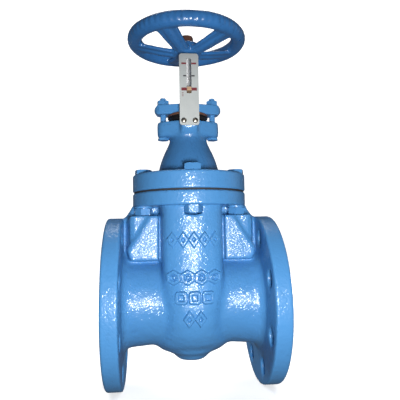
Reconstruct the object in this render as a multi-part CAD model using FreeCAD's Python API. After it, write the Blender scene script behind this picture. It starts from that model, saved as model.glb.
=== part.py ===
import FreeCAD, Part
import math
import os

V = FreeCAD.Vector
os.makedirs("parts", exist_ok=True)

# ---------------------------------------------------------------------------
# DN80 PN16 flanged wedge gate valve, inside screw, non-rising stem, with a
# travelling pointer behind a slotted position plate.  Millimetres, +Z up.
# Origin: pipe axis x stem axis.  Pipe along X, handwheel above, plate at -Y.
# Modelled shut: the wedge is on its seats and the pointer is at its lowest.
# ---------------------------------------------------------------------------

# --- pipe ends (EN 1092-2, DN80 PN16; face to face 203, EN 558 series 3) ----
FACE_TO_FACE = 203.0
FLANGE_R = 100.0          # flange outside radius
FLANGE_T = 22.0           # over the raised face
RAISED_R = 66.0
RAISED_T = 3.0
PCD_R = 80.0              # bolt circle radius
FLANGE_HOLE_R = 9.5
FLANGE_HOLES = 8
BORE_R = 40.0
NECK_R_IN = 50.3          # outside of the pipe neck at the chamber
NECK_R_OUT = 52.4         # outside of the pipe neck at the flange
NECK_FILLET = 8.0

# --- gate chamber -------------------------------------------------------------
CHAMBER_R = 62.0          # front and back arc in plan, and the round bottom
CHAMBER_HX = 35.0         # half width across the flat sides
CHAMBER_EDGE_R = 6.0
# (z, half width in X, half depth in Y, squareness of the section) down the belly
BELLY = [(22.0, 35.2, 62.0, 4.6), (8.0, 36.4, 61.9, 3.6), (-6.0, 39.0, 61.4, 2.9),
         (-20.0, 42.6, 58.6, 2.5), (-34.0, 45.2, 51.8, 2.3), (-45.0, 45.4, 42.6, 2.2),
         (-52.0, 42.2, 33.8, 2.1), (-57.0, 35.0, 24.5, 2.0), (-60.0, 27.5, 16.5, 2.0),
         (-61.5, 20.0, 10.5, 2.0)]
BOSS = [(31.0, -57.2), (27.0, -59.2), (24.0, -60.6), (21.8, -62.0), (20.8, -63.6),
        (18.5, -66.3), (16.4, -68.6)]    # (radius, z)
BOSS_END_R = 15.8
BOSS_END_Z = -69.0
CAVITY_HX = 26.5
CAVITY_HY = 45.3

# --- shoulders under the bonnet flange -----------------------------------------
SHOULDER_HY = 34.0
SHOULDER_Z0 = 50.0
SHOULDER_Z1 = 101.4
WEB_HY = 6.5
PAD_Y = -37.4             # face of the raised lower-inner pad
PAD_STEP = 4.0            # width of the slope along its diagonal edge
PAD_A = (46.8, 101.4)     # the diagonal, upper inner end (x, z)
PAD_B = (70.5, 62.4)      # the diagonal, lower outer end

# --- bonnet joint ----------------------------------------------------------------
JOINT_R = 68.4
BODY_FLANGE_Z0, BODY_FLANGE_Z1 = 112.6, 128.7
GASKET_T = 2.0
GASKET_R = 66.9
BONNET_Z0 = BODY_FLANGE_Z1 + GASKET_T
BONNET_FLANGE_Z1 = 151.1
BOLT_XY = [(0.0, -57.5), (55.0, -18.0), (55.0, 18.0),
           (0.0, 57.5), (-55.0, 18.0), (-55.0, -18.0)]
BOLT_R = 6.0              # M12
BOLT_HOLE_R = 6.75
BOLT_AF = 18.0
BOLT_HEAD_H = 7.5
SIDE_HEAD_H = 5.0
NUT_H = 9.0
SIDE_NUT_H = 8.6
WASHER_T = 2.0
WASHER_R = 10.9
BOLT_TIP_Z = 102.9

# --- bonnet ------------------------------------------------------------------------
BONNET_CURVE = [(38.4, 152.0), (35.7, 161.5), (32.4, 171.5), (27.1, 183.6),
                (23.2, 192.5), (22.2, 199.0)]     # (radius, z)
TOP_Z0, TOP_Z1 = 198.0, 217.0
BOX_R = 15.0              # stuffing box bore
BOX_Z0 = 172.0
BUSH_R = 14.0
PLATE_FACE_Y = -29.0      # pad that the position plate is screwed to

# --- stem ----------------------------------------------------------------------------
STEM_Z0 = 44.5
STEM_THREAD_R = 11.0      # Tr22 x 5, left hand
STEM_COLLAR_R = 14.4
STEM_COLLAR_Z0, STEM_COLLAR_Z1 = 175.05, 183.0
STEM_R = 10.0
STEM_UPPER_Z = 239.0
STEM_UPPER_R = 6.5        # carries the pointer thread
STEM_SQ = 9.1             # square for the handwheel
STEM_SQ_Z0, STEM_SQ_Z1 = 301.0, 317.5
STEM_END_R = 4.0          # M8
STEM_END_Z = 328.2
RUN = 0.05                # radial running clearance

# --- gland ---------------------------------------------------------------------------
GLAND_X = 30.5
GLAND_BOLT_R = 3.6
GLAND_AF = 13.0
FOLLOWER_Z0, FOLLOWER_Z1 = 226.3, 238.4
GLAND_NUT_H = 6.3
GLAND_TIP_Z = 248.0

# --- position plate ---------------------------------------------------------------------
PLATE_HX = 11.5
PLATE_T = 2.0
PLATE_Z0, PLATE_Z1 = 208.0, 294.0
SLOT_HX = 3.0
SLOT_Z0, SLOT_Z1 = 246.0, 288.0
SCREW_X, SCREW_Z = 6.8, 213.4
POINTER_Z = 251.0

# --- wedge ---------------------------------------------------------------------------
WEDGE_R = 44.0
WEDGE_HALF_T = 19.0
WEDGE_ANGLE = 5.0
SEAT_GAP = 0.2
SEAT_RI, SEAT_RO = 39.0, 44.5
SEAT_LEN = 14.0

# --- handwheel -------------------------------------------------------------------------
WHEEL_R = 64.6            # centre line of the rim
WHEEL_TUBE_R = 9.1
WHEEL_Z = 321.5
HUB_R = 17.5
HUB_Z0, HUB_Z1 = 301.0, 317.5
SPOKES = 5
SPOKE_FIRST = -27.0       # degrees from the front, towards +X
WHEEL_NUT_AF = 15.0


# ---------------------------------------------------------------------------
def poly_face(pts):
    p = [V(*q) for q in pts]
    return Part.Face(Part.makePolygon(p + [p[0]]))


def cyl(r, z0, z1, x=0.0, y=0.0):
    return Part.makeCylinder(r, z1 - z0, V(x, y, z0))


def ring(ro, ri, z0, z1, x=0.0, y=0.0):
    return cyl(ro, z0, z1, x, y).cut(cyl(ri, z0 - 1, z1 + 1, x, y))


def xcyl(r, x0, x1, y=0.0, z=0.0):
    return Part.makeCylinder(r, x1 - x0, V(x0, y, z), V(1, 0, 0))


def box(x0, x1, y0, y1, z0, z1):
    return Part.makeBox(x1 - x0, y1 - y0, z1 - z0, V(x0, y0, z0))


def hexagon(af, z0, z1, x=0.0, y=0.0, turn=0.0, chamfer=True):
    """Hexagon prism with its corners chamfered at the top by a cone."""
    rc = af / math.sqrt(3.0)
    pts = []
    for k in range(6):
        a = math.radians(60.0 * k + turn)
        pts.append((x + rc * math.cos(a), y + rc * math.sin(a), z0))
    s = poly_face(pts).extrude(V(0, 0, z1 - z0))
    if chamfer:
        h = z1 - z0
        d = rc - af / 2.0
        prof = poly_face([(0, 0, z0), (rc + 0.01, 0, z0), (rc + 0.01, 0, z1 - d * 0.6),
                          (af / 2.0 - 0.2, 0, z1), (0, 0, z1)])
        r = prof.revolve(V(0, 0, 0), V(0, 0, 1), 360)
        r.translate(V(x, y, 0))
        s = s.common(r)
    return s


def hexagon_both(af, z0, z1, x=0.0, y=0.0, turn=0.0):
    s = hexagon(af, z0, z1, x, y, turn, False)
    rc = af / math.sqrt(3.0)
    d = (rc - af / 2.0) * 0.6
    prof = poly_face([(0, 0, z0), (af / 2.0 - 0.2, 0, z0), (rc + 0.01, 0, z0 + d),
                      (rc + 0.01, 0, z1 - d), (af / 2.0 - 0.2, 0, z1), (0, 0, z1)])
    r = prof.revolve(V(0, 0, 0), V(0, 0, 1), 360)
    r.translate(V(x, y, 0))
    return s.common(r)


def revolve_z(pts):
    return poly_face([(r, 0, z) for r, z in pts]).revolve(V(0, 0, 0), V(0, 0, 1), 360)


def wire_face(edges):
    return Part.Face(Part.Wire(edges))


def line(a, b):
    return Part.LineSegment(V(*a), V(*b)).toShape()


def arc(a, m, b):
    return Part.Arc(V(*a), V(*m), V(*b)).toShape()


def oval(R, r, d, z0, z1):
    """Two-lobed plate: a centre disc R and end discs r at +-d, with tangents."""
    a = math.acos((R - r) / d)
    ca, sa = math.cos(a), math.sin(a)
    e = [
        arc((d + r * ca, -r * sa, z0), (d + r, 0, z0), (d + r * ca, r * sa, z0)),
        line((d + r * ca, r * sa, z0), (R * ca, R * sa, z0)),
        arc((R * ca, R * sa, z0), (0, R, z0), (-R * ca, R * sa, z0)),
        line((-R * ca, R * sa, z0), (-d - r * ca, r * sa, z0)),
        arc((-d - r * ca, r * sa, z0), (-d - r, 0, z0), (-d - r * ca, -r * sa, z0)),
        line((-d - r * ca, -r * sa, z0), (-R * ca, -R * sa, z0)),
        arc((-R * ca, -R * sa, z0), (0, -R, z0), (R * ca, -R * sa, z0)),
        line((R * ca, -R * sa, z0), (d + r * ca, -r * sa, z0)),
    ]
    return wire_face(e).extrude(V(0, 0, z1 - z0))


def mirror_x(s):
    return s.mirror(V(0, 0, 0), V(1, 0, 0))


def mirror_y(s):
    return s.mirror(V(0, 0, 0), V(0, 1, 0))


def try_fillet(s, radii, pick):
    edges = [e for e in s.Edges if pick(e)]
    for r in radii:
        try:
            f = s.makeFillet(r, edges)
            if f.isValid() and len(f.Solids) == 1 and f.Volume > 0.9 * s.Volume:
                return f
        except Exception:
            pass
    return s


def half_space(a, b, c, size=300.0):
    """Solid on the outer side of the plane through a, b, c (normal side)."""
    A, B, C = V(*a), V(*b), V(*c)
    n = (B - A).cross(C - A)
    n.normalize()
    bx = Part.makeBox(size, size, size, V(-size / 2, -size / 2, 0))
    rot = FreeCAD.Rotation(V(0, 0, 1), n)
    bx.Placement = FreeCAD.Placement(A, rot)
    return bx


NODES = {}


def add(name, shape):
    s = shape.removeSplitter() if len(shape.Solids) == 1 else shape
    if not s.isValid():
        s = shape
    NODES[name] = s


# --- body casting ------------------------------------------------------------
HF = FACE_TO_FACE / 2.0
XF = HF - RAISED_T
XB = HF - FLANGE_T


def pipe_profile():
    f = NECK_FILLET
    c = 1.6
    e = []
    # right half, outside, from the raised face inwards, then mirrored
    pts = [(-HF, 0, 0), (-HF, 0, RAISED_R), (-XF, 0, RAISED_R), (-XF, 0, FLANGE_R - c),
           (-XF + c, 0, FLANGE_R), (-XB - c, 0, FLANGE_R), (-XB, 0, FLANGE_R - c),
           (-XB, 0, NECK_R_OUT + f)]
    for a, b in zip(pts[:-1], pts[1:]):
        e.append(line(a, b))
    k = f * (1 - math.sqrt(0.5))
    e.append(arc((-XB, 0, NECK_R_OUT + f), (-XB + k, 0, NECK_R_OUT + k),
                 (-XB + f, 0, NECK_R_OUT)))
    e.append(line((-XB + f, 0, NECK_R_OUT), (-46.0, 0, NECK_R_IN)))
    e.append(line((-46.0, 0, NECK_R_IN), (46.0, 0, NECK_R_IN)))
    e.append(line((XB - f, 0, NECK_R_OUT), (46.0, 0, NECK_R_IN)))
    e.append(arc((XB, 0, NECK_R_OUT + f), (XB - k, 0, NECK_R_OUT + k),
                 (XB - f, 0, NECK_R_OUT)))
    q = [(-x, y, z) for x, y, z in pts]
    for a, b in zip(q[:-1], q[1:]):
        e.append(line(a, b))
    e.append(line((-HF, 0, 0), (HF, 0, 0)))
    return Part.Face(Part.Wire(Part.__sortEdges__(e)))


def plan_point(a):
    """Chamber section above the pipe: an arc R in front, flat sides, soft corners."""
    c, sn = math.cos(a), math.sin(a)
    lo, hi = 0.0, 100.0
    for _ in range(40):
        m = 0.5 * (lo + hi)
        x, y = abs(m * c), abs(m * sn)
        # smooth intersection of the disc and the slab
        u = max(x / CHAMBER_HX, 1e-6) ** 9 + max(math.hypot(x, y) / CHAMBER_R, 1e-6) ** 18
        if u > 1.0:
            hi = m
        else:
            lo = m
    return lo * c, lo * sn


def belly_point(a, hx, hy, n):
    c, sn = math.cos(a), math.sin(a)
    # polar radius of a superellipse
    r = (abs(c / hx) ** n + abs(sn / hy) ** n) ** (-1.0 / n)
    return r * c, r * sn


def section(z, fn):
    pts = [V(*(fn(2 * math.pi * k / 48.0) + (z,))) for k in range(48)]
    bs = Part.BSplineCurve()
    bs.interpolate(pts, PeriodicFlag=True)
    return Part.Wire([bs.toShape()])


def belly_row(z):
    """Section parameters at height z, eased between the rows of BELLY."""
    for hi, lo in zip(BELLY[:-1], BELLY[1:]):
        if lo[0] <= z <= hi[0]:
            t = (z - lo[0]) / (hi[0] - lo[0])
            return tuple(lo[i] + t * (hi[i] - lo[i]) for i in (1, 2, 3))
    return BELLY[0][1:]


def blend_point(a, z):
    """From the plan section at the top of the belly to the round bottom."""
    p = plan_point(a)
    q = belly_point(a, *belly_row(z))
    t = min(max((BELLY[0][0] - z) / 30.0, 0.0), 1.0)
    t = t * t * (3 - 2 * t)
    return p[0] + t * (q[0] - p[0]), p[1] + t * (q[1] - p[1])


def chamber():
    zt = BELLY[0][0]
    upper = Part.Face(section(zt, plan_point)).extrude(V(0, 0, 116.0 - zt))
    zs = [zt, zt - 3.0, zt - 8, zt - 14, zt - 21, zt - 28, zt - 35, zt - 42, zt - 49, zt - 56,
          zt - 62, zt - 67, zt - 71.5, zt - 75.5, zt - 79, zt - 81.8, zt - 83.5]
    rows = [section(z, lambda a: blend_point(a, z)) for z in reversed(zs)]
    lower = Part.makeLoft(rows, True, False)
    return upper.fuse(lower)


def shoulder():
    h = SHOULDER_HY
    plan = [(38.0, -h), (66.0, -h), (70.4, -h + 2.2), (72.2, -h + 7), (73.6, -16), (76.0, -9), (80.2, -6),
            (80.2, 6), (76.0, 9), (73.6, 16), (72.2, h - 7), (70.4, h - 2.2), (66.0, h), (38.0, h)]
    z0, z1 = SHOULDER_Z0, SHOULDER_Z1
    s = poly_face([(x, y, z0) for x, y in plan]).extrude(V(0, 0, z1 - z0))
    top = poly_face([(20, -60, z0 - 1), (90, -60, z0 - 1), (90, -60, 88.0), (76.0, -60, 95.5),
                     (70.0, -60, z1 + 0.1), (20, -60, z1 + 0.1)]).extrude(V(0, 120, 0))
    s = s.common(top)
    s = try_fillet(s, [3.0, 2.0, 1.2], lambda e: e.BoundBox.ZLength > 30 and e.BoundBox.Center.x < 40)
    (ax, az), (bx, bz) = PAD_A, PAD_B
    dx, dz = bx - ax, bz - az
    d = math.hypot(dx, dz)
    nx, nz = -dz / d, dx / d
    ox, oz = nx * PAD_STEP, nz * PAD_STEP
    pad = poly_face([(38.0, PAD_Y, z0), (68.0, PAD_Y, z0), (71.4, PAD_Y, z0 + 4.5), (bx + ox, PAD_Y, bz + oz),
                     (ax + ox, PAD_Y, az + oz), (ax + ox, PAD_Y, z1), (38.0, PAD_Y, z1)])
    pad = pad.extrude(V(0, 12.0, 0))
    hs = half_space((ax, PAD_Y, az), (bx, PAD_Y, bz), (ax + ox, -h, az + oz))
    if hs.isInside(V(50, -30, 60), 0.01, True):
        hs = half_space((bx, PAD_Y, bz), (ax, PAD_Y, az), (ax + ox, -h, az + oz))
    pad = pad.cut(hs)
    pad = try_fillet(pad, [2.0, 1.5, 1.0], lambda e: abs(e.BoundBox.Center.y - PAD_Y) < 0.05
                     and e.BoundBox.YLength < 0.05 and e.BoundBox.Center.z < z1 - 1)
    s = s.fuse(pad).fuse(mirror_y(pad))
    s = s.fuse(box(20, 42, -29.0, 29.0, z0, z1))
    web = poly_face([(28, -WEB_HY, 58), (80.2, -WEB_HY, 58), (80.2, -WEB_HY, 98.0),
                     (XB, -WEB_HY, 99.0), (69.2, -WEB_HY, 113.6), (28, -WEB_HY, 113.6)])
    web = web.extrude(V(0, 2 * WEB_HY, 0))
    web = try_fillet(web, [3.0, 2.0, 1.0], lambda e: e.BoundBox.YLength < 0.1
                     and e.BoundBox.Center.x > 60 and e.BoundBox.Center.z > 80
                     and e.BoundBox.XLength > 3)
    return s.fuse(web)


def seat_axis(side):
    a = math.radians(WEDGE_ANGLE)
    n = V(side * math.cos(a), 0, -math.sin(a))
    t = V(side * math.sin(a), 0, math.cos(a))
    p = V(side * (WEDGE_HALF_T + SEAT_GAP), 0, 0) + t * 0.6
    return n, p


def seat_cyl(side, r, d0, d1):
    n, p = seat_axis(side)
    return Part.makeCylinder(r, d1 - d0, p + n * d0, n)


body = pipe_profile().revolve(V(0, 0, 0), V(1, 0, 0), 360)
body = body.fuse(chamber())
body = body.fuse(revolve_z([(0, BODY_FLANGE_Z0), (JOINT_R - 1.2, BODY_FLANGE_Z0),
                            (JOINT_R, BODY_FLANGE_Z0 + 1.2), (JOINT_R, BODY_FLANGE_Z1 - 1.0),
                            (JOINT_R - 1.0, BODY_FLANGE_Z1), (0, BODY_FLANGE_Z1)]))
sh = shoulder()
body = body.fuse(sh).fuse(mirror_x(sh))
boss_pts = [(0, BOSS_END_Z), (BOSS_END_R, BOSS_END_Z)] + [(r, z) for r, z in reversed(BOSS)]
body = body.fuse(revolve_z(boss_pts + [(BOSS[0][0], -52.0), (0, -52.0)]))
# bore, cavity, seat pockets
body = body.cut(xcyl(BORE_R, -HF - 5, HF + 5))
cav = box(-CAVITY_HX, CAVITY_HX, -CAVITY_HY, CAVITY_HY, 0, BODY_FLANGE_Z1 + 5)
cav = cav.fuse(xcyl(CAVITY_HY, -CAVITY_HX, CAVITY_HX))
body = body.cut(cav)
for side in (1, -1):
    body = body.cut(seat_cyl(side, SEAT_RO, 1.0, SEAT_LEN))
# pipe bolt holes, straddling the centre lines
for k in range(FLANGE_HOLES):
    a = math.radians(360.0 / FLANGE_HOLES * (k + 0.5))
    y, z = PCD_R * math.cos(a), PCD_R * math.sin(a)
    for x0, x1 in ((XB - 1.0, HF + 1), (-HF - 1, -XB + 1.0)):
        body = body.cut(xcyl(FLANGE_HOLE_R, x0, x1, y, z))
# bonnet bolt holes, and the spot-faced pockets for the front and back nuts
for x, y in BOLT_XY:
    body = body.cut(cyl(BOLT_HOLE_R, SHOULDER_Z1, BODY_FLANGE_Z1 + 5, x, y))
for s in (-1, 1):
    y0, y1 = sorted((s * 48.2, s * 80.0))
    pk = cyl(10.75, BODY_FLANGE_Z0 - NUT_H - 1.2, BODY_FLANGE_Z0, 0, s * 57.5)
    body = body.cut(pk.common(box(-20, 20, y0, y1, 90, 120)))
add("body_casting", body)

# --- seat rings -----------------------------------------------------------------
for side, name in ((-1, "seat_ring_left"), (1, "seat_ring_right")):
    s = seat_cyl(side, SEAT_RO, 0.0, SEAT_LEN).cut(seat_cyl(side, SEAT_RI, -5, SEAT_LEN + 5))
    add(name, s)

# --- wedge ----------------------------------------------------------------------
ta = math.tan(math.radians(WEDGE_ANGLE))
w = poly_face([(-WEDGE_HALF_T - ta * 60, -60, 60), (WEDGE_HALF_T + ta * 60, -60, 60),
               (WEDGE_HALF_T - ta * 60, -60, -60), (-WEDGE_HALF_T + ta * 60, -60, -60)])
w = w.extrude(V(0, 120, 0)).common(xcyl(WEDGE_R, -60, 60))
w = w.fuse(cyl(17.0, 20.0, 62.0))
w = w.fuse(box(-6, 6, -24, 24, 20, 46).cut(cyl(40, 10, 60).cut(cyl(24, 9, 61))))
w = w.cut(cyl(12.0, -60, 70)).cut(cyl(13.5, 46.0, 70.0))
for side in (-1, 1):
    a = math.radians(WEDGE_ANGLE)
    n = V(side * math.cos(a), 0, -math.sin(a))
    t = V(side * math.sin(a), 0, math.cos(a))
    p = V(side * WEDGE_HALF_T, 0, 0) + t * 0.6
    ro, ri = 43.2, 39.0
    rec = Part.makeCylinder(ro, 10, p - n * 3.0, n).cut(Part.makeCylinder(ri, 14, p - n * 4.0, n))
    w = w.cut(rec)
    dish = Part.makeCylinder(34.0, 10, p - n * 1.2, n)
    w = w.cut(dish)
    fr = Part.makeCylinder(ro, 3.0, p - n * 3.0, n).cut(Part.makeCylinder(ri, 14, p - n * 6.0, n))
    add("wedge_face_ring_" + ("left" if side < 0 else "right"), fr)
add("wedge", w)
nut = cyl(13.45, 46.0, 62.0).fuse(hexagon(26.0, 62.0, 65.0)).cut(cyl(STEM_THREAD_R + RUN, 40, 70))
add("wedge_nut", nut)

# --- bonnet -----------------------------------------------------------------------
pts = [V(r, 0, z) for r, z in BONNET_CURVE]
bs = Part.BSplineCurve()
bs.interpolate(pts)
edges = [
    line((0, 0, BONNET_Z0), (JOINT_R - 1.0, 0, BONNET_Z0)),
    line((JOINT_R - 1.0, 0, BONNET_Z0), (JOINT_R, 0, BONNET_Z0 + 1.0)),
    line((JOINT_R, 0, BONNET_Z0 + 1.0), (JOINT_R, 0, BONNET_FLANGE_Z1 - 1.6)),
    line((JOINT_R, 0, BONNET_FLANGE_Z1 - 1.6), (JOINT_R - 1.6, 0, BONNET_FLANGE_Z1)),
    line((JOINT_R - 1.6, 0, BONNET_FLANGE_Z1), (43.0, 0, BONNET_FLANGE_Z1)),
    line((43.0, 0, BONNET_FLANGE_Z1), (BONNET_CURVE[0][0], 0, BONNET_CURVE[0][1])),
    bs.toShape(),
    line((BONNET_CURVE[-1][0], 0, 199.0), (0, 0, 199.0)),
    line((0, 0, 199.0), (0, 0, BONNET_Z0)),
]
bonnet = Part.Face(Part.Wire(Part.__sortEdges__(edges))).revolve(V(0, 0, 0), V(0, 0, 1), 360)
top = oval(22.2, 10.5, 27.5, TOP_Z0, TOP_Z1)


def pick_top(e):
    b = e.BoundBox
    return b.ZLength < 0.05
top = try_fillet(top, [1.6, 1.0], pick_top)
bonnet = bonnet.fuse(top)
# pad for the position plate, on a short gusset
pad = poly_face([(-10.6, PLATE_FACE_Y, 207.6), (-10.6, PLATE_FACE_Y, TOP_Z1 - 0.6),
                 (-10.6, -18.0, TOP_Z1 - 0.6), (-10.6, -18.0, 197.0), (-10.6, -21.6, 198.6),
                 (-10.6, -23.8, 200.6), (-10.6, -26.8, 204.0)])
pad = pad.extrude(V(21.2, 0, 0))
pad = try_fillet(pad, [3.0, 2.0, 1.0], lambda e: e.BoundBox.XLength < 0.1 and e.BoundBox.Center.y < -24
                 and e.BoundBox.Center.z < TOP_Z1 - 1)
bonnet = bonnet.fuse(pad)
cavb = revolve_z([(0, BONNET_Z0 - 1), (34.0, BONNET_Z0 - 1), (28.5, 150.0), (BUSH_R, 160.0),
                  (0, 160.0)])
bonnet = bonnet.cut(cavb).cut(cyl(BUSH_R, 150, BOX_Z0 + 0.01)).cut(cyl(BOX_R, BOX_Z0, 230))
for x, y in BOLT_XY:
    bonnet = bonnet.cut(cyl(BOLT_HOLE_R, BONNET_Z0 - 1, BONNET_FLANGE_Z1 + 1, x, y))
for s in (-1, 1):
    bonnet = bonnet.cut(cyl(GLAND_BOLT_R + 0.5, TOP_Z0 - 2, TOP_Z1 + 1, s * GLAND_X, 0))
    # tapped hole for the plate screw
    bonnet = bonnet.cut(Part.makeCylinder(2.0, 8.0, V(s * SCREW_X, PLATE_FACE_Y - 0.5, SCREW_Z),
                                          V(0, 1, 0)))
add("bonnet_casting", bonnet)

# --- bonnet gasket -------------------------------------------------------------------
g = cyl(GASKET_R, BODY_FLANGE_Z1, BONNET_Z0).cut(
    box(-CAVITY_HX, CAVITY_HX, -CAVITY_HY, CAVITY_HY, 120, 140).fuse(cyl(34.0, 120, 140)))
for x, y in BOLT_XY:
    g = g.cut(cyl(BOLT_HOLE_R, 120, 140, x, y))
add("bonnet_gasket", g)

# --- bonnet bolts, nuts, washers --------------------------------------------------------
turns = [30.0, 12.0, -8.0, 30.0, 20.0, -14.0]
nut_turns = [0.0, 20.0, 5.0, 0.0, -10.0, 14.0]
for i, (x, y) in enumerate(BOLT_XY):
    side = abs(x) > 1.0
    hh_ = SIDE_HEAD_H if side else BOLT_HEAD_H
    b = hexagon(BOLT_AF, BONNET_FLANGE_Z1, BONNET_FLANGE_Z1 + hh_, x, y, turns[i])
    sk = Part.makeCone(BOLT_R - 0.9, BOLT_R, 0.9, V(x, y, BOLT_TIP_Z)).fuse(
        cyl(BOLT_R, BOLT_TIP_Z + 0.9, BONNET_FLANGE_Z1 + 0.5, x, y))
    add("bonnet_bolt_%d" % (i + 1), b.fuse(sk))
    z1 = BODY_FLANGE_Z0 - (WASHER_T if side else 0.0)
    n = hexagon_both(BOLT_AF, z1 - (SIDE_NUT_H if side else NUT_H), z1, x, y, nut_turns[i])
    add("bonnet_nut_%d" % (i + 1), n.cut(cyl(BOLT_R, 90, 120, x, y)))
    if side:
        add("bonnet_washer_%d" % (i + 1), ring(WASHER_R, BOLT_R + 0.25, z1, BODY_FLANGE_Z0, x, y))

# --- stem --------------------------------------------------------------------------------
st = revolve_z([(0, STEM_Z0), (STEM_THREAD_R - 2, STEM_Z0), (STEM_THREAD_R, STEM_Z0 + 2),
                (STEM_THREAD_R, STEM_COLLAR_Z0), (STEM_COLLAR_R - 0.5, STEM_COLLAR_Z0),
                (STEM_COLLAR_R, STEM_COLLAR_Z0 + 0.5), (STEM_COLLAR_R, STEM_COLLAR_Z1 - 0.5),
                (STEM_COLLAR_R - 0.5, STEM_COLLAR_Z1), (STEM_R, STEM_COLLAR_Z1),
                (STEM_R, STEM_UPPER_Z), (STEM_UPPER_R, STEM_UPPER_Z + 2.0),
                (STEM_UPPER_R, STEM_SQ_Z0), (0, STEM_SQ_Z0)])
h = STEM_SQ / 2.0
st = st.fuse(box(-h, h, -h, h, STEM_SQ_Z0 - 1, STEM_SQ_Z1))
st = st.fuse(revolve_z([(0, STEM_SQ_Z1 - 1), (STEM_END_R, STEM_SQ_Z1 - 1),
                        (STEM_END_R, STEM_END_Z - 1), (STEM_END_R - 1, STEM_END_Z),
                        (0, STEM_END_Z)]))
add("stem", st)

# --- stem bearings and packing --------------------------------------------------------------
add("back_seat_bush", ring(BUSH_R, STEM_THREAD_R + 0.1, 160.0, BOX_Z0))
add("thrust_washer", ring(BOX_R - 0.05, STEM_THREAD_R + RUN, BOX_Z0, 175.0))
add("thrust_ring", ring(BOX_R - 0.05, STEM_R + RUN, 183.05, 188.0))
for k in range(3):
    z0 = 188.0 + 5.0 * k
    add("packing_ring_%d" % (k + 1), ring(BOX_R - 0.05, STEM_R + RUN, z0, z0 + 5.0))
gb = revolve_z([(STEM_R + RUN, 203.0), (BOX_R - 0.1, 203.0), (BOX_R - 0.1, 217.8),
                (23.6, 217.8), (23.6, 221.8), (24.8, 222.2), (24.8, 225.7), (24.2, FOLLOWER_Z0),
                (STEM_R + RUN, FOLLOWER_Z0)])
add("gland_bush", gb)
fo = oval(16.5, 9.6, 31.6, FOLLOWER_Z0, FOLLOWER_Z1)
# the two ends are bevelled above and below to a blunt edge at mid height
fo = fo.common(poly_face([(-41.3, -30, 230.2), (-37.3, -30, FOLLOWER_Z0), (37.3, -30, FOLLOWER_Z0),
                          (41.3, -30, 230.2), (41.3, -30, 234.6), (37.5, -30, FOLLOWER_Z1),
                          (-37.5, -30, FOLLOWER_Z1), (-41.3, -30, 234.6)]).extrude(V(0, 60, 0)))
fo = fo.cut(cyl(STEM_R + 0.5, 220, 240))
for s in (-1, 1):
    fo = fo.cut(cyl(GLAND_BOLT_R + 0.5, 220, 240, s * GLAND_X, 0))
add("gland_follower", fo)
for s, nm in ((-1, "left"), (1, "right")):
    x = s * GLAND_X
    hd = hexagon(GLAND_AF - 1.0, TOP_Z0 - 2.7, TOP_Z0, x, 0, 15 * s, False)
    hd = hd.fuse(cyl(GLAND_BOLT_R, TOP_Z0 - 1, GLAND_TIP_Z - 0.8, x, 0)).fuse(
        Part.makeCone(GLAND_BOLT_R, GLAND_BOLT_R - 0.8, 0.8, V(x, 0, GLAND_TIP_Z - 0.8)))
    add("gland_bolt_" + nm, hd)
    n = hexagon_both(GLAND_AF, FOLLOWER_Z1, FOLLOWER_Z1 + GLAND_NUT_H, x, 0, 20 * s)
    add("gland_nut_" + nm, n.cut(cyl(GLAND_BOLT_R, 230, 250, x, 0)))

# --- position plate, screws, pointer -----------------------------------------------------------
YP0 = PLATE_FACE_Y - PLATE_T
pl = box(-PLATE_HX, PLATE_HX, YP0, PLATE_FACE_Y, PLATE_Z0, PLATE_Z1)
pl = pl.makeFillet(3.2, [e for e in pl.Edges if e.BoundBox.YLength > 1.5 and e.BoundBox.XLength < 0.1
                         and e.BoundBox.ZLength < 0.1])
sl = box(-SLOT_HX, SLOT_HX, YP0 - 1, PLATE_FACE_Y + 1, SLOT_Z0, SLOT_Z1)
sl = sl.makeFillet(1.2, [e for e in sl.Edges if e.BoundBox.YLength > 3 and e.BoundBox.XLength < 0.1
                         and e.BoundBox.ZLength < 0.1])
pl = pl.cut(sl)
for s in (-1, 1):
    pl = pl.cut(Part.makeCylinder(2.2, 10, V(s * SCREW_X, YP0 - 3, SCREW_Z), V(0, 1, 0)))
add("position_plate", pl)
for s, nm in ((-1, "left"), (1, "right")):
    prof = wire_face([
        line((0, YP0 - 1.9, 0), (0, -22.0, 0)), line((0, -22.0, 0), (2.0, -22.0, 0)),
        line((2.0, -22.0, 0), (2.0, YP0, 0)), line((2.0, YP0, 0), (3.2, YP0, 0)),
        line((3.2, YP0, 0), (3.2, YP0 - 0.9, 0)),
        arc((3.2, YP0 - 0.9, 0), (1.9, YP0 - 1.65, 0), (0, YP0 - 1.9, 0))])
    sc = prof.revolve(V(0, 0, 0), V(0, 1, 0), 360)
    sc = sc.cut(box(-4, 4, YP0 - 3, YP0 - 1.0, -0.45, 0.45).rotated(V(0, 0, 0), V(0, 1, 0), 35 * s)
                if hasattr(Part.Shape, "rotated") else box(-4, 4, YP0 - 3, YP0 - 1.0, -0.45, 0.45))
    sc.translate(V(s * SCREW_X, 0, SCREW_Z))
    add("plate_screw_" + nm, sc)
pn = cyl(9.6, POINTER_Z - 4.0, POINTER_Z + 4.0)
pn = try_fillet(pn, [0.8], lambda e: e.BoundBox.ZLength < 0.05)
pn = pn.fuse(box(-2.6, 2.6, -33.2, -8.0, POINTER_Z - 2.2, POINTER_Z + 2.2))
pn = pn.cut(cyl(STEM_UPPER_R + RUN, 200, 300))
add("pointer_nut", pn)

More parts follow.
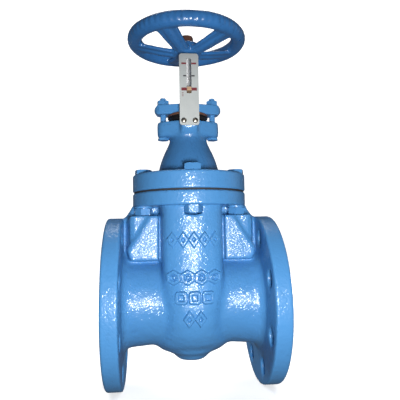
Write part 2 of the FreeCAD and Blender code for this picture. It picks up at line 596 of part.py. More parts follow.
# --- handwheel -----------------------------------------------------------------------------------
hw = Part.makeTorus(WHEEL_R, WHEEL_TUBE_R, V(0, 0, WHEEL_Z), V(0, 0, 1))
hub = revolve_z([(0, HUB_Z0), (HUB_R - 3.0, HUB_Z0), (HUB_R, HUB_Z0 + 3.0), (HUB_R, HUB_Z1 - 4),
                 (HUB_R - 2.0, HUB_Z1 - 1.2), (13.0, HUB_Z1), (0, HUB_Z1)])
wheel = hub
for k in range(SPOKES):
    plan = poly_face([(6, -10.0, 290), (20, -10.0, 290), (61, -13.0, 290), (61, 13.0, 290),
                      (20, 10.0, 290), (6, 10.0, 290)]).extrude(V(0, 0, 45))
    prof = poly_face([(6, -20, 304.5), (20, -20, 305.0), (36, -20, 308.4), (50, -20, 311.6),
                      (61, -20, 313.8), (61, -20, 319.0), (50, -20, 316.4), (36, -20, 313.0),
                      (22, -20, 310.4), (6, -20, 310.0)]).extrude(V(0, 40, 0))
    sp = plan.common(prof)
    rib = poly_face([(6, -4.6, 301.4), (18, -4.6, 301.8), (36, -4.6, 305.6), (60, -4.6, 312.0),
                     (60, -4.6, 316.5), (18, -4.6, 308)]).extrude(V(0, 9.2, 0))
    rib = try_fillet(rib, [2.4, 1.6, 1.0], lambda e: e.BoundBox.YLength < 0.1 and e.BoundBox.Center.z < 310
                     and e.BoundBox.XLength > 6 and e.BoundBox.Center.z < 301.0 + 0.25 * e.BoundBox.Center.x)
    sp = sp.fuse(rib)
    sp.rotate(V(0, 0, 0), V(0, 0, 1), -90.0 + SPOKE_FIRST + 360.0 / SPOKES * k)
    wheel = wheel.fuse(sp)
wheel = wheel.fuse(hw)
hh = STEM_SQ / 2.0 + 0.03
wheel = wheel.cut(box(-hh, hh, -hh, hh, 290, 340))
add("handwheel", wheel)
add("handwheel_washer", ring(10.0, STEM_END_R + 0.2, STEM_SQ_Z1, STEM_SQ_Z1 + 1.8))
wn = hexagon(WHEEL_NUT_AF, STEM_SQ_Z1 + 1.8, STEM_SQ_Z1 + 9.3, 0, 0, 10)
add("handwheel_nut", wn.cut(cyl(STEM_END_R, 300, 340)))

for name in sorted(NODES):
    s = NODES[name]
    if s.ShapeType == "Compound" and len(s.Solids) == 1:
        s = s.Solids[0]
    s.exportStep("parts/%s.step" % name)
    bb = s.BoundBox
    print("%-24s valid=%s solids=%d vol=%.1f  x %.1f..%.1f y %.1f..%.1f z %.1f..%.1f" % (
        name, s.isValid(), len(s.Solids), s.Volume, bb.XMin, bb.XMax, bb.YMin, bb.YMax,
        bb.ZMin, bb.ZMax))
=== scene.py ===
import math

import bmesh
import bpy
import numpy as np
from mathutils import Matrix, Vector, noise


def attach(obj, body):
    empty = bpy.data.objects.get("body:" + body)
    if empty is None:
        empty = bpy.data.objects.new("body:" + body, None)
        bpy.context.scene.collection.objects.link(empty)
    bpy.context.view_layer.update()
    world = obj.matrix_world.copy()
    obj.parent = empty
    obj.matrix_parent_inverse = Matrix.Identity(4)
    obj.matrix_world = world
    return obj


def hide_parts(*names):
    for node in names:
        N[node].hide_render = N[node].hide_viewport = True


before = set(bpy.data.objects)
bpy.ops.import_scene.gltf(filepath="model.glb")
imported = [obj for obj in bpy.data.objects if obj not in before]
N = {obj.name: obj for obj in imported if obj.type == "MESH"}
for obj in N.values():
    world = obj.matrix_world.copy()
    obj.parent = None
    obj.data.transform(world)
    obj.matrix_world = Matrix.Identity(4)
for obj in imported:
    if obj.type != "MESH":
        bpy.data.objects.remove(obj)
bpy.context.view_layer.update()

# ---------------------------------------------------------------------------
# Looks for the flanged gate valve.  Metres, same frame as the CAD.  The four
# castings are re-skinned with cast fillets, the stem gets its real threads,
# everything else keeps its CAD mesh and gets a procedural material.
# ---------------------------------------------------------------------------

SC = bpy.context.scene


# --------------------------------------------------------------- mesh helpers
def new_object(name, me):
    o = bpy.data.objects.new(name, me)
    SC.collection.objects.link(o)
    return o


def copy_of(name, nodes):
    bm = bmesh.new()
    for n in nodes:
        bm.from_mesh(N[n].data)
    me = bpy.data.meshes.new(name)
    bm.to_mesh(me)
    bm.free()
    return new_object(name, me)


def apply_modifiers(o):
    dg = bpy.context.evaluated_depsgraph_get()
    me = bpy.data.meshes.new_from_object(o.evaluated_get(dg))
    o.modifiers.clear()
    old = o.data
    o.data = me
    bpy.data.meshes.remove(old)


def weld(o, dist=1e-6):
    bm = bmesh.new()
    bm.from_mesh(o.data)
    bmesh.ops.remove_doubles(bm, verts=bm.verts, dist=dist)
    bm.to_mesh(o.data)
    bm.free()


def voxel(o, size):
    weld(o)
    m = o.modifiers.new("voxel", "REMESH")
    m.mode = "VOXEL"
    m.voxel_size = size
    m.adaptivity = 0.0
    apply_modifiers(o)


def get_co(o):
    co = np.empty(len(o.data.vertices) * 3, np.float64)
    o.data.vertices.foreach_get("co", co)
    return co.reshape(-1, 3)


def set_co(o, co):
    o.data.vertices.foreach_set("co", np.ascontiguousarray(co, np.float32).ravel())
    o.data.update()


def get_no(o):
    no = np.empty(len(o.data.vertices) * 3, np.float64)
    o.data.vertices.foreach_get("normal", no)
    return no.reshape(-1, 3)


def relax(o, weight, steps, lam=0.5):
    """Laplacian smoothing, each point by its own weight."""
    me = o.data
    e = np.empty(len(me.edges) * 2, np.int64)
    me.edges.foreach_get("vertices", e)
    a, b = e[0::2], e[1::2]
    n = len(me.vertices)
    deg = np.bincount(a, minlength=n) + np.bincount(b, minlength=n)
    deg = np.maximum(deg, 1)
    co = get_co(o)
    w = (lam * weight)[:, None]
    for _ in range(steps):
        s = np.stack([np.bincount(a, co[b, k], n) + np.bincount(b, co[a, k], n)
                      for k in range(3)], 1)
        co += w * (s / deg[:, None] - co)
    set_co(o, co)


def step(x, lo, hi):
    t = np.clip((x - lo) / (hi - lo), 0.0, 1.0)
    return t * t * (3 - 2 * t)


def lumps(co, scale, seed):
    """Smooth noise about zero at each point, scale in waves per metre."""
    off = Vector((seed * 3.1, seed * 1.7, seed * 2.3))
    return np.array([noise.noise(Vector(p) * scale + off) for p in co])


def smooth_shading(o, angle=None):
    for p in o.data.polygons:
        p.use_smooth = True
    if angle is not None:
        try:
            o.data.set_sharp_from_angle(angle=math.radians(angle))
        except Exception:
            pass


# -------------------------------------------------------------- shader helpers
class Mat:
    def __init__(self, name):
        self.m = bpy.data.materials.new(name)
        self.m.use_nodes = True
        self.t = self.m.node_tree
        self.t.nodes.clear()
        self.out = self.t.nodes.new("ShaderNodeOutputMaterial")
        self.b = self.t.nodes.new("ShaderNodeBsdfPrincipled")
        self.t.links.new(self.b.outputs[0], self.out.inputs[0])
        self.tc = self.t.nodes.new("ShaderNodeTexCoord")
        self.co = self.tc.outputs["Object"]

    def link(self, a, b):
        self.t.links.new(a, b)

    def noise(self, scale, detail=2.0, rough=0.5, co=None, distort=0.0):
        n = self.t.nodes.new("ShaderNodeTexNoise")
        n.inputs["Scale"].default_value = scale
        n.inputs["Detail"].default_value = detail
        n.inputs["Roughness"].default_value = rough
        n.inputs["Distortion"].default_value = distort
        self.link(co or self.co, n.inputs["Vector"])
        return n.outputs["Fac"]

    def ramp(self, fac, stops):
        r = self.t.nodes.new("ShaderNodeValToRGB")
        el = r.color_ramp.elements
        while len(el) < len(stops):
            el.new(0.5)
        for e, (p, c) in zip(el, stops):
            e.position = p
            e.color = (c[0], c[1], c[2], 1) if hasattr(c, "__len__") else (c, c, c, 1)
        self.link(fac, r.inputs[0])
        return r.outputs[0]

    def math(self, op, a, b=None, c=None):
        n = self.t.nodes.new("ShaderNodeMath")
        n.operation = op
        for i, v in enumerate((a, b, c)):
            if v is None:
                continue
            if isinstance(v, (int, float)):
                n.inputs[i].default_value = v
            else:
                self.link(v, n.inputs[i])
        return n.outputs[0]

    def mix(self, fac, a, b):
        n = self.t.nodes.new("ShaderNodeMix")
        n.data_type = "RGBA"
        for s, v in ((n.inputs[0], fac), (n.inputs[6], a), (n.inputs[7], b)):
            if isinstance(v, (int, float)):
                s.default_value = v
            elif isinstance(v, tuple):
                s.default_value = (v[0], v[1], v[2], 1)
            else:
                self.link(v, s)
        return n.outputs[2]

    def sep(self):
        n = self.t.nodes.new("ShaderNodeSeparateXYZ")
        self.link(self.co, n.inputs[0])
        return n.outputs[0], n.outputs[1], n.outputs[2]

    def bump(self, height, strength, dist, under=None):
        n = self.t.nodes.new("ShaderNodeBump")
        n.inputs["Strength"].default_value = strength
        n.inputs["Distance"].default_value = dist
        self.link(height, n.inputs["Height"])
        if under is not None:
            self.link(under, n.inputs["Normal"])
        return n.outputs[0]

    def grains(self, under, scale, amount):
        """Tilts a normal by a random amount in small cells, for glittering enamel."""
        v = self.t.nodes.new("ShaderNodeTexVoronoi")
        v.inputs["Scale"].default_value = scale
        self.link(self.co, v.inputs["Vector"])
        ops = []
        for op in ("SUBTRACT", "SCALE", "ADD", "NORMALIZE"):
            n = self.t.nodes.new("ShaderNodeVectorMath")
            n.operation = op
            ops.append(n)
        self.link(v.outputs["Color"], ops[0].inputs[0])
        ops[0].inputs[1].default_value = (0.5, 0.5, 0.5)
        self.link(ops[0].outputs[0], ops[1].inputs[0])
        ops[1].inputs["Scale"].default_value = amount
        self.link(ops[1].outputs[0], ops[2].inputs[0])
        self.link(under, ops[2].inputs[1])
        self.link(ops[2].outputs[0], ops[3].inputs[0])
        return ops[3].outputs[0]

    def set(self, **kw):
        for k, v in kw.items():
            s = self.b.inputs[k.replace("_", " ")]
            if isinstance(v, (int, float)):
                s.default_value = v
            elif isinstance(v, tuple):
                s.default_value = (v[0], v[1], v[2], 1)
            else:
                self.link(v, s)
        return self

    def band(self, v, centre, half, soft=0.00015):
        """1 where |v - centre| < half, as nodes."""
        d = self.math("ABSOLUTE", self.math("SUBTRACT", v, centre))
        n = self.t.nodes.new("ShaderNodeMapRange")
        n.inputs["From Min"].default_value = half + soft
        n.inputs["From Max"].default_value = half - soft
        self.link(d, n.inputs["Value"])
        return n.outputs[0]


def srgb(r, g, b):
    def f(c):
        c /= 255.0
        return c / 12.92 if c <= 0.04045 else ((c + 0.055) / 1.055) ** 2.4
    return (f(r), f(g), f(b))


def give(obj, mat, slot=None):
    m = mat.m if isinstance(mat, Mat) else mat
    obj.data.materials.clear()
    obj.data.materials.append(m)


# ------------------------------------------------------------------- materials
PAINT = srgb(74, 135, 191)


def paint(name, peel=1.0, wave=1.0, rough=0.36, tint=1.0, shade=(0.93, 1.06), coat=0.6, calm=False, grime_and_shade=0.16,
          neck_shade=0.0):
    """Glossy enamel over a cast or machined surface. peel is the orange peel."""
    m = Mat(name)
    c = [x * t for x, t in zip(PAINT, tint if isinstance(tint, tuple) else (tint,) * 3)]
    lo = tuple(x * shade[0] for x in c)
    hi = tuple(x * shade[1] for x in c)
    col = m.mix(m.noise(26.0, 3.0), lo, hi)
    dirt = m.ramp(m.noise(140.0, 5.0, 0.62), [(0.30, 1.0), (0.42, 0.0)])
    col = m.mix(m.math("MULTIPLY", dirt, grime_and_shade), col, tuple(x * 0.5 for x in c))
    if neck_shade:
        # painted shade: a darker, duller band of colour on the tapering neck of the bonnet
        z = m.sep()[2]
        col = m.mix(m.math("MULTIPLY", m.band(z, 0.1760, 0.0230, 0.0035), neck_shade), col,
                    (c[0] * 0.2, c[1] * 0.35, c[2] * 0.45))
    fine = m.noise(430.0, 1.0, 0.5)
    coarse = m.noise(190.0, 2.0, 0.5, distort=0.4)
    swell = m.noise(70.0, 1.0)
    k = 1.0
    if calm:
        # the turned rims of the flanges carry less orange peel than the cast skin
        x, y, z = m.sep()
        ends = m.math("GREATER_THAN", m.math("ABSOLUTE", x), 0.0785)
        rim = m.math("MAXIMUM", m.band(z, 0.1320, 0.0200, 0.0006), ends)
        k = m.math("SUBTRACT", 1.0, m.math("MULTIPLY", rim, 0.5))
    skin = m.bump(fine, 0.6 * peel, 0.00035)
    skin = m.bump(coarse, 0.6 * peel, 0.0006, skin)
    skin = m.bump(swell, 0.5 * wave, 0.0008, skin)
    gloss = m.bump(fine, 1.0, 0.0006 * peel)
    if calm:
        m.link(k, gloss.node.inputs["Strength"])
    gloss = m.bump(coarse, 0.8 * peel, 0.0006, gloss)
    gloss = m.bump(swell, 0.5 * wave, 0.0008, gloss)
    gloss = m.grains(gloss, 640.0, 0.25 * peel)
    m.set(Base_Color=col, Normal=skin, Coat_Weight=coat, Coat_Roughness=0.14, Coat_IOR=1.5,
          Specular_IOR_Level=0.3)
    if calm:
        m.set(Coat_Weight=m.math("SUBTRACT", coat, m.math("MULTIPLY", ends, 0.45 * coat)))
    m.link(gloss, m.b.inputs["Coat Normal"])
    m.set(Roughness=m.ramp(m.noise(90.0, 3.0), [(0.3, rough * 0.85), (0.7, rough * 1.25)]))
    return m


def metal(name, col, rough=0.3, brushed=None, dirt=None, amount=0.3, bump=0.2):
    m = Mat(name)
    f = m.noise(60.0, 4.0)
    a = tuple(x * 0.82 for x in col)
    c = m.mix(f, a, tuple(min(1.0, x * 1.12) for x in col))
    if dirt is not None:
        d = m.ramp(m.noise(230.0, 5.0, 0.65), [(0.40, 1.0), (0.62, 0.0)])
        c = m.mix(m.math("MULTIPLY", d, amount), c, dirt)
    mp = m.t.nodes.new("ShaderNodeMapping")
    mp.inputs["Scale"].default_value = brushed or (1, 1, 1)
    m.link(m.co, mp.inputs["Vector"])
    g = m.noise(300.0, 3.0, 0.6, co=mp.outputs[0])
    n = m.bump(g, bump, 0.0002)
    m.set(Base_Color=c, Metallic=1.0, Normal=n)
    m.set(Roughness=m.ramp(g, [(0.3, rough * 0.75), (0.7, rough * 1.35)]))
    return m


def matte(name, col, rough=0.7, scale=300.0, depth=0.0003, vary=0.25, strength=0.5):
    m = Mat(name)
    f = m.noise(scale * 0.4, 4.0)
    c = m.mix(f, tuple(x * (1 - vary) for x in col), tuple(min(1, x * (1 + vary)) for x in col))
    g = m.noise(scale, 3.0, 0.6)
    m.set(Base_Color=c, Normal=m.bump(g, strength, depth))
    m.set(Roughness=m.ramp(g, [(0.3, rough * 0.85), (0.7, min(1.0, rough * 1.15))]))
    return m


cast_paint = paint("paint_cast", peel=1.0, wave=1.0, calm=True)
# the bonnet paint carries a band of painted shade on its tapering neck
bonnet_paint = paint("paint_bonnet", peel=1.0, wave=1.0, calm=True, neck_shade=0.5)
turned_paint = paint("paint_turned", peel=0.45, wave=0.5, rough=0.34)
bolt_paint = paint("paint_bolts", peel=0.5, wave=0.6, rough=0.42, tint=1.0, coat=0.3)
# the wheel paint is the body paint darkened and made bluer by the tint; the darkening is painted shade for the
# dimmer light on the wheel
wheel_paint = paint("paint_wheel", peel=0.45, wave=1.0, rough=0.32, tint=(0.48, 0.62, 0.75), coat=0.45,
                    shade=(0.66, 1.26), grime_and_shade=0.6)
steel = metal("steel_turned", (0.66, 0.66, 0.66), 0.40, brushed=(1, 1, 14), bump=0.12)
steel.set(Metallic=0.55)
brass = metal("brass_machined", (0.80, 0.55, 0.34), 0.38, brushed=(1, 1, 8),
              dirt=(0.25, 0.12, 0.07), amount=0.3)
brass.set(Metallic=0.55)
bronze = metal("bronze_seat", (0.60, 0.42, 0.22), 0.28, brushed=(1, 1, 1))
screw_steel = metal("screw_steel", (0.50, 0.48, 0.43), 0.32, dirt=(0.16, 0.13, 0.10), amount=0.5)
washer_zinc = metal("zinc", (0.42, 0.42, 0.42), 0.4)
graphite = matte("graphite_packing", (0.030, 0.030, 0.032), 0.75)
fibre = matte("fibre_sheet", (0.020, 0.022, 0.028), 0.8)
iron = matte("iron_primer", (0.20, 0.20, 0.21), 0.6)
nut_brown = matte("nut_oxidised", srgb(86, 54, 42), 0.42, 420.0, 0.0003, 0.35)

# gland bush: dull brown collar; the lower step below it is painted nearly black, as painted shade for the
# shadowed gap under the collar
gland = Mat("gland_bronze")
gx, gy, gz = gland.sep()
gap_shade_mask = gland.t.nodes.new("ShaderNodeMapRange")
gap_shade_mask.inputs["From Min"].default_value = 0.2232
gap_shade_mask.inputs["From Max"].default_value = 0.2237
gland.link(gz, gap_shade_mask.inputs["Value"])
gcol = gland.mix(gland.noise(160.0, 4.0), srgb(84, 56, 46), srgb(120, 82, 64))
gland.set(Base_Color=gland.mix(gap_shade_mask.outputs[0], (0.006, 0.006, 0.008), gcol),
          Normal=gland.bump(gland.noise(380.0, 3.0), 0.4, 0.0002), Metallic=0.15)
gland.set(Roughness=gland.ramp(gland.noise(200.0, 3.0), [(0.3, 0.42), (0.7, 0.62)]))

# position plate: off-white lacquer with printed bars either side of the slot
plate = Mat("plate_lacquer")
px, py, pz = plate.sep()
base = plate.mix(plate.noise(45.0, 4.0), srgb(170, 176, 176), srgb(190, 194, 192))
spots = plate.ramp(plate.noise(700.0, 3.0, 0.6), [(0.30, 1.0), (0.38, 0.0)])
base = plate.mix(plate.math("MULTIPLY", spots, 0.22), base, srgb(150, 156, 160))
# painted shade: the plate's colour darkens towards its top, under the handwheel
grime_and_shade = plate.t.nodes.new("ShaderNodeMapRange")
grime_and_shade.inputs["From Min"].default_value = 0.262
grime_and_shade.inputs["From Max"].default_value = 0.292
plate.link(pz, grime_and_shade.inputs["Value"])
base = plate.mix(plate.math("MULTIPLY", grime_and_shade.outputs[0], 0.42), base, srgb(96, 98, 104))
ax = plate.math("ABSOLUTE", px)
front = plate.math("LESS_THAN", py, -0.03095)


def bar(under, z, half, x0, x1, colour):
    f = plate.math("MULTIPLY", plate.band(pz, z, half), plate.band(ax, (x0 + x1) / 2, (x1 - x0) / 2))
    f = plate.math("MULTIPLY", plate.math("MULTIPLY", f, front), 0.94)
    return plate.mix(f, under, colour)


RED, BLACK = srgb(112, 10, 28), srgb(34, 24, 34)
base = bar(base, 0.2820, 0.00105, 0.0030, 0.0088, RED)
base = bar(base, 0.2670, 0.00082, 0.0030, 0.0068, BLACK)
base = bar(base, 0.2510, 0.00185, 0.0030, 0.0092, RED)
left = plate.math("LESS_THAN", px, 0.0)
for tz in (0.2466, 0.2447, 0.2428):
    f = plate.math("MULTIPLY", plate.band(pz, tz, 0.00038), plate.band(ax, 0.0077, 0.0011))
    f = plate.math("MULTIPLY", plate.math("MULTIPLY", f, front), left)
    base = plate.mix(plate.math("MULTIPLY", f, 0.8), base, RED)
plate.set(Base_Color=base, Coat_Weight=0.35, Coat_Roughness=0.15,
          Normal=plate.bump(plate.noise(120.0, 2.0), 0.25, 0.0002))
plate.set(Roughness=plate.ramp(plate.noise(90.0, 2.0), [(0.3, 0.30), (0.7, 0.42)]))

# ---------------------------------------------------------------- body casting
MMS = 1000.0


def outline(d, w):
    return np.abs(d) - w


def diamond(x, z, a, b):
    return (np.abs(x) / a + np.abs(z) / b - 1) * (a * b / math.hypot(a, b))


def rbox(x, z, a, b, r):
    qx, qz = np.abs(x) - a + r, np.abs(z) - b + r
    return np.hypot(np.maximum(qx, 0), np.maximum(qz, 0)) + np.minimum(np.maximum(qx, qz), 0) - r


def hexa(x, z, r):
    qx, qz = np.abs(x), np.abs(z)
    return np.maximum(qx, qx * 0.5 + qz * 0.8660254) - r


def marks(x, z):
    """Height 0..1 of the raised foundry marks, plain shapes only."""
    d = np.full(len(x), 1e3)

    def put(v):
        np.minimum(d, v, out=d)
    for k in (-2, -1, 0, 1, 2):
        put(outline(diamond(x - 11.6 * k, z - 74, 3.9, 5.6), 1.6))
    for k in (-1.5, -0.5, 0.5, 1.5):
        put(outline(hexa(x - 14.8 * k, z - 33, 5.3), 1.6))
        put(np.hypot(x - 14.6 * k, z - 33) - 1.9)
    for k in (-1.0, 0.0, 1.0):
        put(outline(rbox(x - 14.5 * k, z - 11, 4.6, 5.0, 1.8), 1.6))
    for k in (-0.5, 0.5):
        put(outline(diamond(x - 12.4 * k, z + 12, 4.2, 6.0), 1.6))
    return 1 - step(d, -0.65, 1.05)


body = copy_of("body_cast", ["body_casting"])
voxel(body, 0.0013)
co = get_co(body) * MMS
x, y, z = np.abs(co[:, 0]), co[:, 1], co[:, 2]
ryz = np.hypot(y, z)
inner = ((ryz < 46.0) & (x > 18)) | ((x < 28.6) & (np.abs(y) < 47.2) & (z > -47.2) & ((z > 0) | (ryz < 47.2)))
w = np.where(inner, 0.0, 1.0)
w *= 1 - step(x, 78.0, 80.6)
w *= 1 - step(z, 110.6, 112.2)
shoulder = step(x, 36.0, 39.0) * step(z, 49.0, 51.0) * step(np.abs(y), 20, 26)
w *= 1 - 0.975 * shoulder
pocket = (np.hypot(co[:, 0], np.abs(y) - 57.5) < 12.5) & (z > 99)
w[pocket] *= 0.12
relax(body, w, 44)
smooth_shading(body)
co = get_co(body)
no = get_no(body)
low = lumps(co, 75.0, 1) * 0.00022 + lumps(co, 190.0, 2) * 0.00011
co += no * (low * np.clip(w + 0.12 * (w == 0) * ~inner, 0, 1))[:, None]
set_co(body, co)
# finer mesh on the front face, where the raised marks are
bm = bmesh.new()
bm.from_mesh(body.data)


def on_front(f):
    c = f.calc_center_median()
    return abs(c.x) < 0.0315 and c.y < -0.050 and -0.026 < c.z < 0.086


for _ in range(2):
    fs = [f for f in bm.faces if on_front(f)]
    es = list({e for f in fs for e in f.edges})
    bmesh.ops.subdivide_edges(bm, edges=es, cuts=1, use_grid_fill=True)
bmesh.ops.triangulate(bm, faces=[f for f in bm.faces if len(f.verts) > 4])
bm.to_mesh(body.data)
bm.free()
co = get_co(body)
sel = (np.abs(co[:, 0]) < 0.0325) & (co[:, 1] < -0.049) & (co[:, 2] > -0.027) & (co[:, 2] < 0.087)
relax(body, sel.astype(float), 3)
co = get_co(body)
no = get_no(body)
h = np.zeros(len(co))
h[sel] = marks(co[sel, 0] * MMS, co[sel, 2] * MMS) * 0.0028
co += no * h[:, None]
set_co(body, co)
smooth_shading(body)
give(body, cast_paint)
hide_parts("body_casting")
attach(body, "valve_body")

# -------------------------------------------------------------- bonnet casting
bon = copy_of("bonnet_cast", ["bonnet_casting"])
voxel(bon, 0.0010)
co = get_co(bon) * MMS
r = np.hypot(co[:, 0], co[:, 1])
w = step(co[:, 2], 152.2, 154.5) * (1 - step(co[:, 2], 215.4, 216.6)) * step(r, 16.6, 18.2)
contact = (co[:, 1] < -28.2) & (co[:, 2] > 209.0)
w[contact] *= 0.1
hole = np.hypot(np.abs(co[:, 0]) - 30.5, co[:, 1]) < 5.2
w[hole] = 0.0
relax(bon, w, 34)
smooth_shading(bon)
co = get_co(bon)
no = get_no(bon)
low = lumps(co, 80.0, 3) * 0.00018 + lumps(co, 200.0, 4) * 0.00010
co += no * (low * w)[:, None]
set_co(bon, co)
give(bon, bonnet_paint)
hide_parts("bonnet_casting")
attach(bon, "valve_body")

# -------------------------------------------------------------- gland follower
fol = copy_of("gland_follower_cast", ["gland_follower"])
voxel(fol, 0.0006)
co = get_co(fol) * MMS
r = np.hypot(co[:, 0], co[:, 1])
w = step(r, 11.0, 12.5)
w[np.hypot(np.abs(co[:, 0]) - 30.5, co[:, 1]) < 5.0] = 0
relax(fol, w, 10)
smooth_shading(fol)
give(fol, turned_paint)
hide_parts("gland_follower")
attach(fol, "valve_body")

# ------------------------------------------------------------------- handwheel
whl = copy_of("handwheel_cast", ["handwheel"])
voxel(whl, 0.0009)
co = get_co(whl) * MMS
rho = np.hypot(co[:, 0], co[:, 1])
w = step(rho, 7.2, 9.0)
relax(whl, w, 12)
co = get_co(whl)
rho = np.hypot(co[:, 0], co[:, 1])
th = np.arctan2(co[:, 1], co[:, 0])
out = step(rho, 0.0700, 0.0737)
dent = 0.5 + 0.5 * np.cos(58.0 * th)
radial = np.stack([np.cos(th), np.sin(th), np.zeros(len(th))], 1)
co -= radial * (0.00055 * out * dent ** 1.2)[:, None]
set_co(whl, co)
smooth_shading(whl)
no = get_no(whl)
co += no * ((lumps(co, 60.0, 5) * 0.00035 + lumps(co, 170.0, 6) * 0.00014) * w)[:, None]
set_co(whl, co)
give(whl, wheel_paint)
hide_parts("handwheel")
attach(whl, "spindle")


# ------------------------------------------------------------------------ stem
def lathe(bm, prof, segs, thread=None):
    """Closed revolve about Z. prof is [(r, z)] in mm; thread(z, a) adds to r."""
    rings = []
    for rr, zz in prof:
        ring = []
        for k in range(segs):
            a = 2 * math.pi * k / segs
            q = rr + (thread(zz, a) if thread else 0.0)
            ring.append(bm.verts.new((q * math.cos(a) / MMS, q * math.sin(a) / MMS, zz / MMS)))
        rings.append(ring)
    for lo, up in zip(rings[:-1], rings[1:]):
        for k in range(segs):
            j = (k + 1) % segs
            bm.faces.new((lo[k], lo[j], up[j], up[k]))
    for ring, zz, flip in ((rings[0], prof[0][1], True), (rings[-1], prof[-1][1], False)):
        c = bm.verts.new((0, 0, zz / MMS))
        for k in range(segs):
            j = (k + 1) % segs
            bm.faces.new((c, ring[j], ring[k]) if flip else (c, ring[k], ring[j]))


def screw(z0, z1, pitch, depth, hand, fade, flat=0.30):
    def f(zz, a):
        t = (zz / pitch + hand * a / (2 * math.pi)) % 1.0
        tri = abs(t - 0.5) * 2.0
        v = min(1.0, max(0.0, (tri - flat / 2) / (1 - flat)))
        e = min(1.0, max(0.0, min(zz - z0, z1 - zz) / fade))
        return -depth * v * e
    return f


bm = bmesh.new()
zz = list(np.arange(44.5, 168.01, 0.625))
lathe(bm, [(9.0, 44.5)] + [(11.0, q) for q in zz[3:]], 40, screw(46.5, 160.0, 5.0, 2.2, 1, 4.0))
lathe(bm, [(11.0, 167.9), (11.0, 175.05), (13.9, 175.05), (14.4, 175.55), (14.4, 182.5),
           (13.9, 183.0), (10.0, 183.0), (10.0, 238.6), (9.7, 239.0), (6.8, 240.9), (6.4, 241.2)], 64)
zz = list(np.arange(241.0, 300.51, 0.175))
lathe(bm, [(6.5, q) for q in zz], 72, screw(241.6, 298.0, 1.75, 0.62, 1, 1.2, 0.55))
h = 9.1 / 2
sq = [bm.verts.new((sx * h / MMS, sy * h / MMS, q / MMS)) for q in (300.0, 317.5)
      for sx, sy in ((-1, -1), (1, -1), (1, 1), (-1, 1))]
for fc in ((3, 2, 1, 0), (4, 5, 6, 7), (0, 1, 5, 4), (1, 2, 6, 5), (2, 3, 7, 6), (3, 0, 4, 7)):
    bm.faces.new([sq[i] for i in fc])
zz = list(np.arange(317.0, 327.3, 0.15))
lathe(bm, [(4.0, q) for q in zz] + [(3.2, 328.2)], 32, screw(317.2, 327.6, 1.25, 0.6, -1, 0.6, 0.2))
bmesh.ops.recalc_face_normals(bm, faces=bm.faces)
me = bpy.data.meshes.new("stem_threaded")
bm.to_mesh(me)
bm.free()
stem = new_object("stem_threaded", me)
smooth_shading(stem, 35)
give(stem, steel)
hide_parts("stem")
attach(stem, "spindle")

# ---------------------------------------------------- the other CAD nodes' looks
LOOK = {"pointer_nut": brass, "wedge_nut": brass, "back_seat_bush": brass, "thrust_washer": brass,
        "thrust_ring": brass, "gland_bush": gland, "bonnet_gasket": fibre, "position_plate": plate,
        "plate_screw_left": screw_steel, "plate_screw_right": screw_steel,
        "handwheel_nut": nut_brown, "handwheel_washer": nut_brown, "wedge": iron,
        "seat_ring_left": bronze, "seat_ring_right": bronze,
        "wedge_face_ring_left": bronze, "wedge_face_ring_right": bronze,
        "packing_ring_1": graphite, "packing_ring_2": graphite, "packing_ring_3": graphite}
for n, o in N.items():
    if n in ("body_casting", "bonnet_casting", "gland_follower", "handwheel", "stem"):
        give(o, cast_paint if n != "stem" else steel)
        continue
    give(o, LOOK.get(n, bolt_paint))

# ------------------------------------------------------------- stage and lights
ground = -0.1002
bm = bmesh.new()
# a round floor that sweeps up into a pale wall far away on every side
prof = [(0.001, 0.0), (0.4, 0.0), (1.0, 0.0), (2.4, 0.0)]
for k in range(1, 13):
    a = math.pi / 2 * k / 12
    prof.append((2.4 + 1.1 * math.sin(a), 1.1 * (1 - math.cos(a))))
prof.append((3.5, 5.5))
SEG = 72
rows = [[bm.verts.new((rr * math.cos(2 * math.pi * k / SEG), rr * math.sin(2 * math.pi * k / SEG),
                       ground + zz)) for k in range(SEG)] for rr, zz in prof]
for a, b in zip(rows[:-1], rows[1:]):
    for k in range(SEG):
        bm.faces.new((a[k], a[(k + 1) % SEG], b[(k + 1) % SEG], b[k]))
bm.faces.new(rows[0])
bmesh.ops.recalc_face_normals(bm, faces=bm.faces)
me = bpy.data.meshes.new("studio_floor")
bm.to_mesh(me)
bm.free()
floor = new_object("studio_floor", me)
smooth_shading(floor)
fl = Mat("studio_pale")
fl.set(Base_Color=fl.mix(fl.noise(3.0, 2.0), (0.86, 0.86, 0.86), (0.90, 0.90, 0.90)),
       Roughness=0.9, Specular_IOR_Level=0.1, Emission_Color=(1.0, 1.0, 1.0),
       Emission_Strength=0.48)
give(floor, fl)
floor.visible_glossy = False
floor.visible_diffuse = False

world = bpy.data.worlds.new("studio") if not SC.world else SC.world
SC.world = world
world.use_nodes = True
bg = world.node_tree.nodes.get("Background")
if bg is None:
    bg = world.node_tree.nodes.new("ShaderNodeBackground")
bg.inputs[0].default_value = (1.0, 1.0, 1.0, 1)
bg.inputs[1].default_value = 0.085


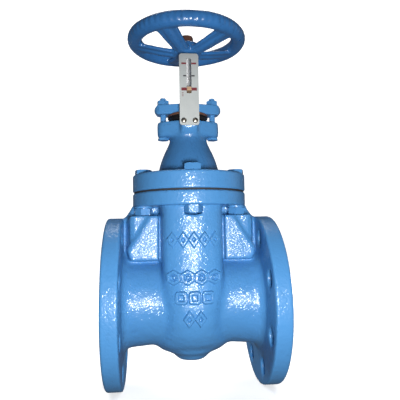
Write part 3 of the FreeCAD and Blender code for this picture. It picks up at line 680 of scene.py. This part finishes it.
def area(name, pos, target, size, power, colour=(1, 1, 1), sy=None):
    l = bpy.data.lights.new(name, "AREA")
    l.shape = "RECTANGLE" if sy else "DISK"
    l.size = size
    if sy:
        l.size_y = sy
    l.energy = power
    l.color = colour
    o = bpy.data.objects.new(name, l)
    SC.collection.objects.link(o)
    o.location = pos
    d = Vector(target) - Vector(pos)
    o.rotation_euler = d.to_track_quat("-Z", "Y").to_euler()
    return o


area("key_front", (0.012, -0.57, 0.038), (0.0, 0.0, 0.11), 0.100, 3.95)
area("top_soft", (-0.45, -0.10, 1.25), (0, 0, 0.12), 0.8, 0.5).visible_glossy = False
area("side_soft", (1.05, 0.10, 0.45), (0, 0, 0.1), 0.7, 0.35)
area("back_soft", (-0.6, 1.0, 0.8), (0, 0, 0.1), 0.9, 0.7).visible_glossy = False
area("back_fill_left", (-0.62, 1.10, 0.38), (0, 0, 0.1), 0.6, 12.0).visible_glossy = False
area("back_fill_right", (0.62, 1.10, 0.38), (0, 0, 0.1), 0.6, 12.0).visible_glossy = False
area("floor_wash", (0.0, 0.75, 1.5), (0.05, 0.25, -0.1), 0.7, 3.5).visible_glossy = False
area("wall_wash", (0.0, 1.2, 2.4), (0, 3.4, 0.8), 1.8, 70.0)

# ---------------------------------------------------------------------- camera
yaw, pitch, roll = 0.0975, 0.0639, -0.0182
fwd = Vector((math.sin(yaw) * math.cos(pitch), math.cos(yaw) * math.cos(pitch), math.sin(pitch)))
right = Vector((math.cos(yaw), -math.sin(yaw), 0))
up = right.cross(fwd)
r2 = right * math.cos(roll) + up * math.sin(roll)
u2 = right * -math.sin(roll) + up * math.cos(roll)
cam = bpy.data.cameras.new("camera")
cam.sensor_width = 36.0
cam.lens = 458.72 / 400.0 * 36.0
cam.clip_start = 0.01
cam.clip_end = 50.0
co_ = bpy.data.objects.new("camera", cam)
SC.collection.objects.link(co_)
M = Matrix((r2, u2, -fwd)).transposed().to_4x4()
M.translation = Vector((-0.04152, -0.56271, 0.08509))
co_.matrix_world = M
SC.camera = co_
SC.view_settings.view_transform = "Standard"
SC.view_settings.look = "None"
SC.view_settings.exposure = 0.0
SC.view_settings.gamma = 1.0

bpy.context.view_layer.update()
